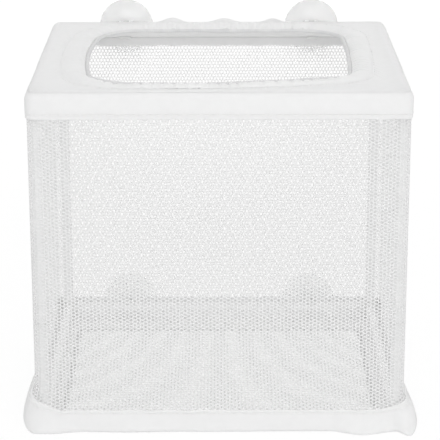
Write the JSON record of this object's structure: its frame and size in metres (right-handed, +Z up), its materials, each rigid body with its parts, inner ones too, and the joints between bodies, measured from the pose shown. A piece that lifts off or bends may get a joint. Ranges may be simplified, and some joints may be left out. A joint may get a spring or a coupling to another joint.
{
  "type": "fish breeding box",
  "caption": "Square net bag with a gathered top mouth, stretched over a plastic tube frame, with suction cups on swivelling clips at the back.",
  "frame": {"origin": "under the middle of the part's own box, at the height of its lowest point, the lower edge of the lower cups", "axes": "+X to the right as seen from the front, +Y to the back, where the cups are, +Z up"},
  "size_m": [0.1638, 0.1506, 0.161],
  "materials": {
    "tube": "extruded, satin white",
    "connector": "moulded, satin white",
    "clip": "moulded, natural white",
    "cup": "clear soft PVC",
    "net": "fine knitted nylon net",
    "cloth": "plain woven nylon",
    "elastic": "braided elastic cord"
  },
  "bodies": {
    "box": {"corner_top_front_left": "connector", "corner_top_front_right": "connector", "corner_top_rear_left": "connector", "corner_top_rear_right": "connector", "corner_bottom_front_left": "connector", "corner_bottom_front_right": "connector", "corner_bottom_rear_left": "connector", "corner_bottom_rear_right": "connector", "rail_top_front": "tube", "rail_top_rear": "tube", "rail_top_left": "tube", "rail_top_right": "tube", "rail_bottom_front": "tube", "rail_bottom_rear": "tube", "rail_bottom_left": "tube", "rail_bottom_right": "tube", "upper_post_front_left": "tube", "upper_post_front_right": "tube", "upper_post_rear_left": "tube", "upper_post_rear_right": "tube", "lower_post_front_left": "tube", "lower_post_front_right": "tube", "lower_post_rear_left": "tube", "lower_post_rear_right": "tube", "post_joiner_front_left": "connector", "post_joiner_front_right": "connector", "post_joiner_rear_left": "connector", "post_joiner_rear_right": "connector", "top_band": "cloth", "top_panel": "cloth", "bottom_hem": "cloth", "net_front": "net", "net_back": "net", "net_left": "net", "net_right": "net", "net_floor": "net", "mouth_elastic": "elastic"},
    "top_left_clip": {"clip_top_left": "clip"},
    "top_left_sucker": {"cup_top_left": "cup"},
    "top_right_clip": {"clip_top_right": "clip"},
    "top_right_sucker": {"cup_top_right": "cup"},
    "bottom_left_clip": {"clip_bottom_left": "clip"},
    "bottom_left_sucker": {"cup_bottom_left": "cup"},
    "bottom_right_clip": {"clip_bottom_right": "clip"},
    "bottom_right_sucker": {"cup_bottom_right": "cup"}
  },
  "joints": [
    {"name": "top_left_clip_swing", "type": "hinge", "parent": "box", "child": "top_left_clip", "pos_m": [-0.0435, 0.0615, 0.1485], "axis": [1, 0, 0], "range_deg": [-20, 20]},
    {"name": "top_left_cup_spin", "type": "hinge", "parent": "top_left_clip", "child": "top_left_sucker", "pos_m": [-0.0435, 0.0695, 0.1485], "axis": [0, 1, 0], "continuous": true},
    {"name": "top_right_clip_swing", "type": "hinge", "parent": "box", "child": "top_right_clip", "pos_m": [0.0435, 0.0615, 0.1485], "axis": [1, 0, 0], "range_deg": [-20, 20]},
    {"name": "top_right_cup_spin", "type": "hinge", "parent": "top_right_clip", "child": "top_right_sucker", "pos_m": [0.0435, 0.0695, 0.1485], "axis": [0, 1, 0], "continuous": true},
    {"name": "bottom_left_clip_swing", "type": "hinge", "parent": "box", "child": "bottom_left_clip", "pos_m": [-0.0435, 0.0615, 0.0125], "axis": [1, 0, 0], "range_deg": [-20, 20]},
    {"name": "bottom_left_cup_spin", "type": "hinge", "parent": "bottom_left_clip", "child": "bottom_left_sucker", "pos_m": [-0.0435, 0.0695, 0.0125], "axis": [0, 1, 0], "continuous": true},
    {"name": "bottom_right_clip_swing", "type": "hinge", "parent": "box", "child": "bottom_right_clip", "pos_m": [0.0435, 0.0615, 0.0125], "axis": [1, 0, 0], "range_deg": [-20, 20]},
    {"name": "bottom_right_cup_spin", "type": "hinge", "parent": "bottom_right_clip", "child": "bottom_right_sucker", "pos_m": [0.0435, 0.0695, 0.0125], "axis": [0, 1, 0], "continuous": true}
  ]
}
